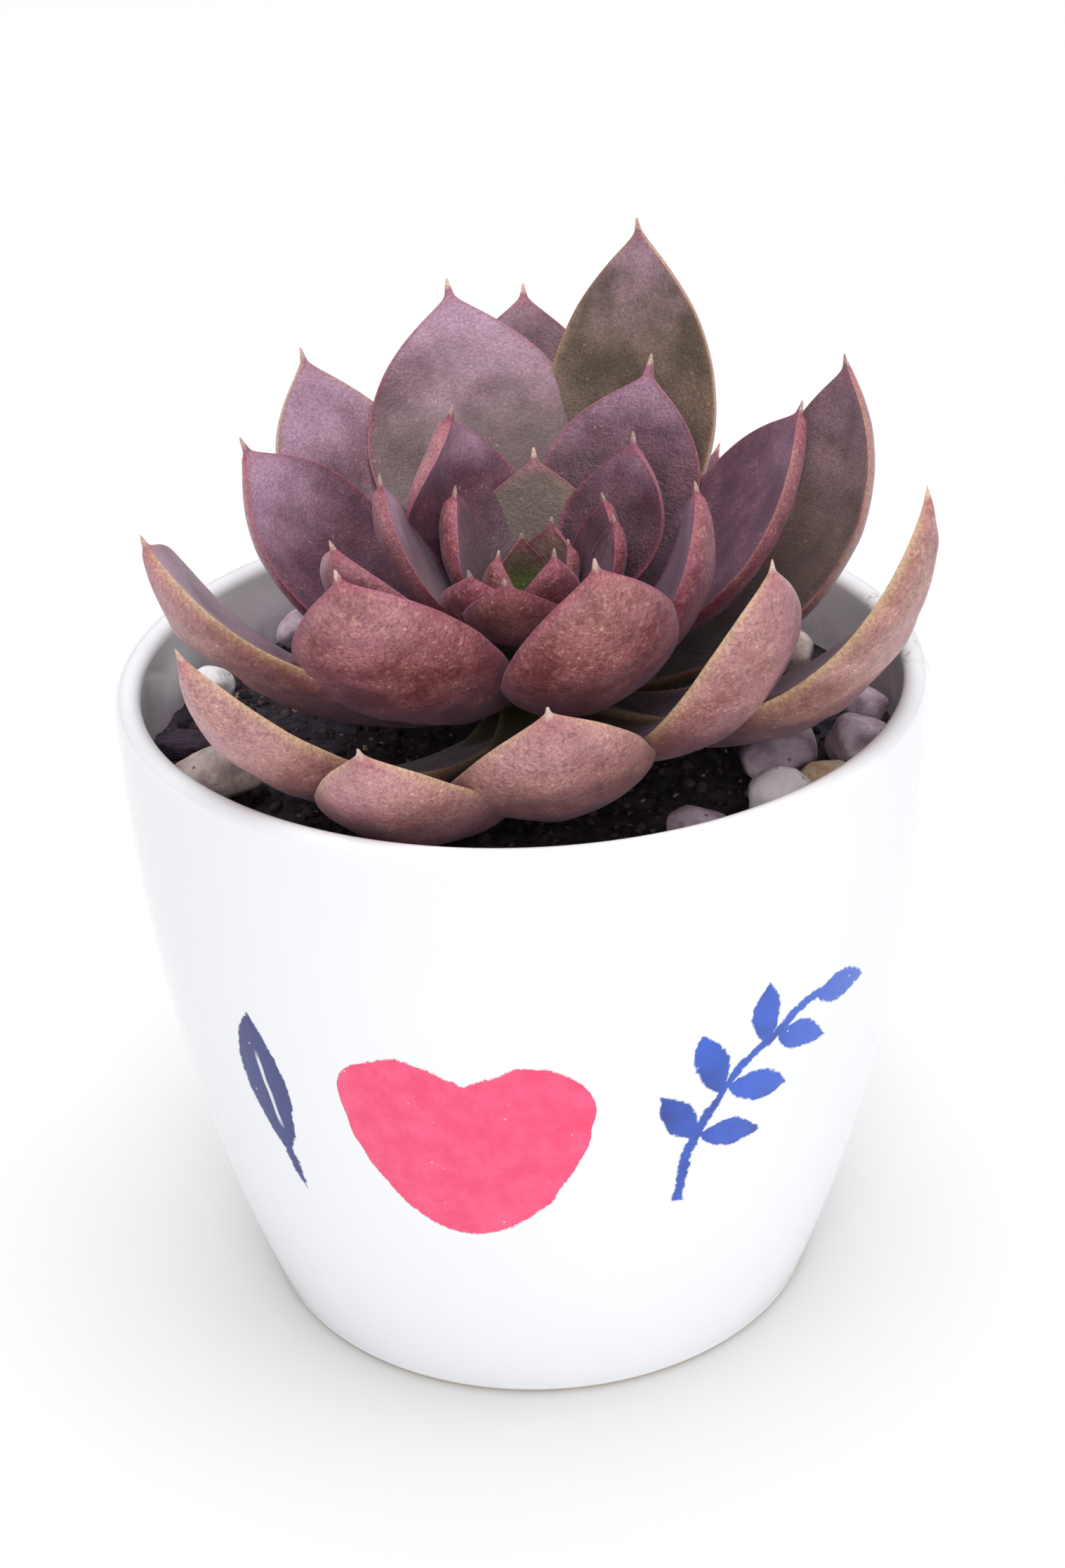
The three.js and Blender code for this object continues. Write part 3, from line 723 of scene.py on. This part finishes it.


# Leaves
# Plump, stiff leaves in a spiral on the stem, the young ones upright in the heart and the old
# ones out over the rim: cupped above, full below, with a raised red or straw-coloured margin and
# a short pale spine. A lilac bloom of wax on the plum-coloured skin has rubbed off in places.
# Painted shade darkens the leaves towards their feet, and painted light brightens their upper
# parts and some of the straw margins.

# One leaf a row, from the heart outwards: its heading, its lift at the foot and its curl to the
# tip in degrees; its length, its width and the height of its foot above the soil in mm; its roll
# and twist in degrees; its sideways bend at the tip and the length of its spine in mm; and then,
# in tenths, how olive its skin is, how thick its bloom lies, how rosy its underside is, and how
# straw-coloured its margin is.
LEAVES = [
    (100, 68, 35, 7.5, 6, 13, 0, 0, 0, 1.4, 7, 0, 7, 0),
    (5, 67, 28, 7.9, 6, 13, 0, 0, 0, 1.5, 7, 0, 7, 0),
    (215, 65, 40, 8.5, 6.5, 12.5, 0, 0, 0, 1.6, 6, 0, 7, 0),
    (61, 60, 30, 9.3, 7.5, 12.5, 0, 0, 0, 1.8, 6, 1, 7, 0),
    (298, 58, 35, 10.3, 7.5, 12, 0, 0, 0, 1.8, 5, 1, 8, 0),
    (343, 36, 60, 14.8, 8.5, 11.5, 15, 20, -0.5, 2.2, 2, 2, 9, 0),
    (8, 40, 63, 14.9, 9.5, 11.5, 10, 10, 0, 2.2, 2, 2, 9, 0),
    (156, 52, 41, 15.4, 11.5, 11, 5, 10, 0, 2.4, 4, 3, 7, 0),
    (243, 29, 39, 15.8, 10, 11.5, 5, 0, 0.5, 2.2, 2, 1, 7, 0),
    (83, 39, 34, 17, 12, 11.5, 0, 0, 0.5, 2.8, 7, 2, 5, 0),
    (263, 16, 43, 20, 10, 13, 3, 0, 0, 2.5, 2, 1, 5, 1),
    (30, 30, 58, 20, 12, 12, 14, 5, 1, 3, 2, 6, 6, 0),
    (192, 32, 54, 22, 12, 11, -4, -10, 0.5, 3, 5, 8, 7, 1),
    (133, 36, 65, 23, 16, 11, -36, 70, -1, 4, 1, 7, 6, 0),
    (322, 12, 81, 31, 15, 9, 9, 32, -2, 3, 1, 3, 7, 2),
    (288, 1, 79, 36, 16, 9, 3, 0, -3.5, 2.5, 1, 2, 5, 1),
    (54, 26, 50, 31, 16, 9, 10, 3, 0, 5, 0, 6, 6, 0),
    (233, 18, 46, 34, 15, 9, -4, -4, 0, 2.5, 1, 6, 8, 0),
    (3, 21, 53, 35, 19, 8, 4, 3, 0, 3, 0, 2, 8, 3),
    (240, 4, 67, 39, 17, 8, 16, 13, 0, 3, 1, 4, 6, 1),
    (100, 20, 42, 44, 22, 7, 0, -2, 1, 4, 4, 7, 5, 0),
    (61, 16, 77, 49, 21, 6, -13, 2, 2.5, 3, 9, 3, 1, 5),
    (135, 14, 54, 41, 20, 6, 2, 2, -2, 3, 3, 9, 3, 6),
    (167, 21, 48, 35, 19, 6, -4, -9, 1, 3.5, 0, 6, 8, 0),
    (207, 4, 62, 45, 21, 6, 34, -50, 2, 3, 1, 4, 4, 7),
    (333, -15, 103, 52, 20, 6, -26, 38, -3, 2, 3, 3, 2, 8),
    (311, -10, 95, 44, 16, 6, 12, -7, -3, 2, 2, 6, 4, 7),
    (10, -3, 103, 47, 18, 5.5, -7, 27, -1, 3, 7, 5, 2, 4),
    (275, -20, 91, 39, 18, 5.5, 0, 8, -2, 1.5, 2, 6, 3, 5),
    (246, -26, 92, 42, 16, 5, 11, 2, 1, 1.5, 2, 8, 4, 7),
    (230, -12, 82, 50, 13, 3.5, 24, -21, -2, 1.5, 4, 7, 1, 10),
    (89, 14, 48, 47, 21, 5, 0, 0, 0, 3, 3, 1, 3, 0),
    (55, 2, 37, 38, 17, 4.5, -14, -13, 1.5, 3, 1, 2, 5, 1),
    (118, 2, 40, 36, 17, 4.5, 0, 0, 0, 3, 3, 3, 4, 2),
]
LEAF_START = 2.5
LEAF_RINGS = 84
LEAF_ROUND = 64

# A leaf is young in so far as it is shorter than this, in mm.
GROWN_LENGTH = 18

# The blade's outline: its width at the foot as a share of its full width, how far along it is
# widest and how slowly it swells to that, the powers that round its shoulders, the width below
# which a leaf is more pointed, and the product that its swell and shoulders reach together.
FOOT_SHARE = 0.34
WIDEST_AT = 0.62
SWELL_POWER = 1.6
SHOULDER_POWER = 7
SHOULDER_HOLLOW = 1.25
POINTED_WIDTH = 16
FULLEST = 0.96

# The spine: half its width in mm at the tip, how fast it widens, half its width at its root in
# mm and as a share of the leaf's width, of which the smaller holds, and how much of its length
# stands clear of the blade.
SPINE_TIP_HALF = 0.1
SPINE_TAPER = 0.22
SPINE_ROOT_HALF = 1.0
SPINE_ROOT_SHARE = 0.12
SPINE_CLEAR = 0.4


def half_width(s, length, width, spine):
    """Half-width in mm at s, 0 at the foot and 1 at the tip. A power of a quarter sine swells the
    blade from the foot, and 1 minus a high power of s, raised to a power itself, rounds its
    shoulders off and then draws them in hollow below the spine. In narrow leaves the high power
    is lower, in step with their width. The spine narrows evenly to the tip, and the root of the
    sum of the two squares runs one into the other."""
    swell = np.sin(np.minimum(s / WIDEST_AT, 1) * np.pi / 2) ** SWELL_POWER
    power = SHOULDER_POWER * min(1, width / POINTED_WIDTH)
    blade_end = 1 - SPINE_CLEAR * spine / length
    shoulders = np.maximum(0, 1 - (s / blade_end) ** power) ** SHOULDER_HOLLOW
    blade = width / 2 * (FOOT_SHARE + (1 - FOOT_SHARE) * swell) * shoulders / FULLEST
    spike = SPINE_TIP_HALF + SPINE_TAPER * (1 - s) * length
    return np.hypot(blade, np.minimum(spike, min(SPINE_ROOT_HALF, SPINE_ROOT_SHARE * width)))


# The blade's section: its thickness as a share of its width, with a little more for plumpness;
# the part of it that is there at the foot, and the most there is as a share of the half-width;
# the share of it that stands above the midline, and how far the margins are lifted.
THICK_SHARE = 0.17
PLUMPNESS = 0.6
PLUMP_SHARE = 0.05
FOOT_THICKNESS = 0.55
DEEPEST = 1.3
SHARE_ABOVE = 0.25
MARGIN_LIFT = 0.16

# What stands on it: the bead along the margin and how far in it reaches, both in mm, the keel's
# depth as a share of the thickness and its reach as a share of the half-width, how wavy the
# margin is, how tall the humps and the dimples are for the leaf's width, and how many mm in the
# margin's colour reaches.
BEAD = 0.16
BEAD_REACH = 0.3
KEEL = 0.1
KEEL_REACH = 0.2
WAVES = 0.025
HUMPS = 0.022
DIMPLES = 0.009
MARGIN_REACH = 0.25


def leaf_rings(heading, lift, curl, length, width, height, roll, twist, bend, spine, seed):
    """Rings round a leaf's midline, and the numbers that its skin reads at their points. The
    midline is an arc: its slope turns from lift by curl along its length, and it drifts sideways
    by bend times s squared. Each ring is half the width times cos a across. It stands a quarter
    of the thickness above and three quarters below, times a power of sin a, and its margins are
    lifted by cos a squared. A bead runs along them and a keel along the middle of the underside.
    The ring is rolled by roll plus twist times s, and hills of three sizes make the faces uneven
    and the margin wavy."""
    s = ((1 - np.cos(np.linspace(0, np.pi, LEAF_RINGS))) / 2)[:, None]
    a = np.linspace(0, 2 * np.pi, LEAF_ROUND, endpoint=False)[None]
    start, turn = math.radians(lift), math.radians(curl)
    slope = start + turn * s
    reach = LEAF_START + length / turn * (np.sin(slope) - math.sin(start))
    rise = height + length / turn * (math.cos(start) - np.cos(slope))
    middle = np.stack([reach, bend * s * s, rise], -1)
    tangent = np.stack([np.cos(slope), 2 * bend * s / length, np.sin(slope)], -1)
    tangent /= np.linalg.norm(tangent, axis=-1, keepdims=True)
    above = np.stack([-np.sin(slope), slope * 0, np.cos(slope)], -1)
    across = np.cross(above, tangent)
    across /= np.linalg.norm(across, axis=-1, keepdims=True)
    above = np.cross(tangent, across)
    rolled = np.radians(roll + twist * s)[..., None]
    across, above = (
        across * np.cos(rolled) + above * np.sin(rolled),
        above * np.cos(rolled) - across * np.sin(rolled),
    )
    side, face = np.cos(a), np.sin(a)
    track = np.stack([s * length + 0 * a, side * 3 + 0 * s, 0 * s + 0 * a], -1) + seed
    wavy = 1 + WAVES * hills(track, 3.5, seed)
    half = half_width(s, length, width, spine) * wavy
    plump = THICK_SHARE * width + min(PLUMPNESS, PLUMP_SHARE * width)
    thickness = plump * np.minimum(1, FOOT_THICKNESS + s) * (1 - s**6)
    deep = np.minimum(thickness, DEEPEST * half)
    share = np.where(face > 0, SHARE_ABOVE, 1 - SHARE_ABOVE)
    body = share * deep * np.sign(face) * np.abs(face) ** np.where(face > 0, 1.5, 1.12)
    inset = half * (1 - np.abs(side))
    bead = BEAD * np.exp(-((inset / BEAD_REACH) ** 2)) * np.sin(np.pi * s.clip(0, 1)) ** 0.5
    keel = -KEEL * deep * np.exp(-((side / KEEL_REACH) ** 2)) * (face < 0) * s
    uneven = HUMPS * width * hills(track, 5.0, seed + 1)
    uneven = (uneven + DIMPLES * width * hills(track, 1.8, seed + 2)) * face**2
    lifted = MARGIN_LIFT * half * side**2 + body + bead + keel
    lifted = lifted + uneven * np.minimum(1, 4 * (1 - s))
    points = middle + across * (half * side)[..., None] + above * lifted[..., None]
    points = headed(points * MM, heading) + STEM_PLACE + (0, 0, SOIL_TOP)
    return points, {
        "along": s + 0 * a,
        "under": (0.5 - face * 2).clip(0, 1) + 0 * s,
        "margin": np.exp(-inset / MARGIN_REACH),
        "from_tip": (1 - s) * length + 0 * a,
        "young": max(0, 1 - length / GROWN_LENGTH),
    }


skin = Finish(
    "leaf_skin",
    Roughness=0.5,
    Coat_Weight=0.15,
    Coat_Roughness=0.3,
    Sheen_Weight=0.3,
    Sheen_Roughness=0.4,
    Sheen_Tint=tint(214, 190, 220),
)
where = skin.place()
along, under, margin = (skin.share(name) for name in ("along", "under", "margin"))
from_tip, young = skin.share("from_tip"), skin.share("young")
LOOKS = ("olive", "bloom", "rosy", "straw")
olive, bloom, rosy, straw = (skin.share(name) for name in LOOKS)
clouds = skin.noise(where, 9 * MM, 3.0, 0.6)
patches = skin.noise(where, 3.2 * MM, 4.0, 0.6)
mottle = skin.noise(where, 0.6 * MM, 4.0, 0.65)
pores = skin.noise(where, 0.3 * MM, 3.0, 0.65)

# Above: plum or olive, darkened towards the foot by painted shade, under a lilac film of wax
# that thickens towards the tip, where the film is also painted light on the leaf's upper part.
plum = skin.mix(patches.rising(0.3, 0.7), tint(88, 50, 68), tint(126, 80, 98))
olive_skin = skin.mix(clouds.rising(0.35, 0.65), tint(102, 90, 72), tint(148, 124, 108))
upper = skin.mix((olive + clouds * 0.5 - 0.25).rising(0.05, 0.95), plum, olive_skin)
# The wax film is real; its rise towards the tip is also painted light on the upper part.
wax_and_painted_light = (bloom * 0.8 + along * 2.4 + (clouds - 0.5) * 1.3 - 2.0).rising(0.0, 0.95)
upper = skin.mix(wax_and_painted_light * 0.78, upper, tint(222, 176, 204))
# Painted shade: the upper face darkens towards its foot, down in the rosette.
painted_shade_above = (0.76 - along + (clouds - 0.5) * 0.4).rising(0, 0.6)
upper = skin.mix(painted_shade_above * 0.7, upper, tint(48, 32, 42))

# Below: rose or russet, darkened towards the foot by painted shade, and paler and dusted with tan
# towards the tip.
russet = skin.mix(patches.rising(0.3, 0.7), tint(146, 78, 62), tint(204, 142, 124))
rose = skin.mix(patches.rising(0.3, 0.7), tint(130, 48, 66), tint(188, 96, 116))
lower = skin.mix((rosy + clouds * 0.6 - 0.3).rising(0.1, 0.9), russet, rose)
lower = skin.mix(olive * 0.4, lower, olive_skin)
film_below = (bloom * 0.9 + along * 1.7 + (clouds - 0.5) * 1.4 - 1.35).rising(0.0, 1.0)
lower = skin.mix(film_below * 0.52, lower, tint(236, 176, 186))
# Painted shade: the underside darkens towards its foot.
lower = skin.mix((0.72 - along).rising(0, 0.6) * 0.65, lower, tint(88, 38, 48))
dusted = mottle.rising(0.5, 0.68) * (along + patches - 0.75).rising(0, 0.6)
lower = skin.mix(dusted * 0.4, lower, tint(226, 182, 160))
lower = skin.mix((0.46 - mottle).rising(0, 0.14) * 0.35, lower, tint(104, 48, 58))

# Both sides together: a green foot, fresher in young leaves, pale specks, a rosy or straw margin
# whose straw colour is partly painted highlight, a blush at the tip, and a pale spine. Fine pores
# darken all of it a little.
colour = skin.mix(under, upper, lower)
foot = (0.3 - along + (clouds - 0.5) * 0.25 + olive * 0.2 + young * 0.35).rising(0, 0.3)
colour = skin.mix(foot * 0.75, colour, skin.mix(young, tint(94, 94, 44), tint(118, 142, 58)))
specks = (0.24 - skin.grains(where, 0.8 * MM)).rising(0, 0.1) * patches.rising(0.46, 0.6)
specks = specks * (under * 0.7 + 0.3)
colour = skin.mix(specks * 0.75, colour, tint(240, 200, 172))
# The straw colour of the margin is partly a painted highlight along the ridge.
straw_and_highlight = (straw + (clouds - 0.5) * 0.5).rising(0.15, 0.75)
edge_tint = skin.mix(straw_and_highlight, tint(176, 92, 110), tint(236, 200, 150))
colour = skin.mix(margin * 0.7, colour, edge_tint)
blush = (3.5 - young - from_tip).rising(0, 2.5)
colour = skin.mix(blush * 0.45, colour, tint(184, 88, 108))
spine = (1.3 - young * 0.7 - from_tip + (mottle - 0.5) * 0.5).rising(0, 0.7)
colour = skin.mix(spine * 0.8, colour, tint(246, 214, 196))
grain = skin.mix(pores.rising(0.3, 0.7), tint(208, 208, 208), tint(255, 255, 255))
colour = skin.mix(1.0, colour, grain, "MULTIPLY")
skin.feed("Base Color", colour)
skin.feed("Roughness", 0.3 + wax_and_painted_light * 0.15 + mottle * 0.2)
skin.relief(pores * 0.35 + mottle * 0.5 + patches * 0.6, 0.22 * MM)

for i, row in enumerate(LEAVES, 1):
    shape, tenths = row[: -len(LOOKS)], row[-len(LOOKS) :]
    rings, shares = leaf_rings(*shape, seed=100 + 3 * i)
    shares |= {look: count / 10 for look, count in zip(LOOKS, tenths)}
    leaf = closed_skin(f"leaf_blade_{i:02d}", rings, skin, **shares)
    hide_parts(f"leaf_{i:02d}")
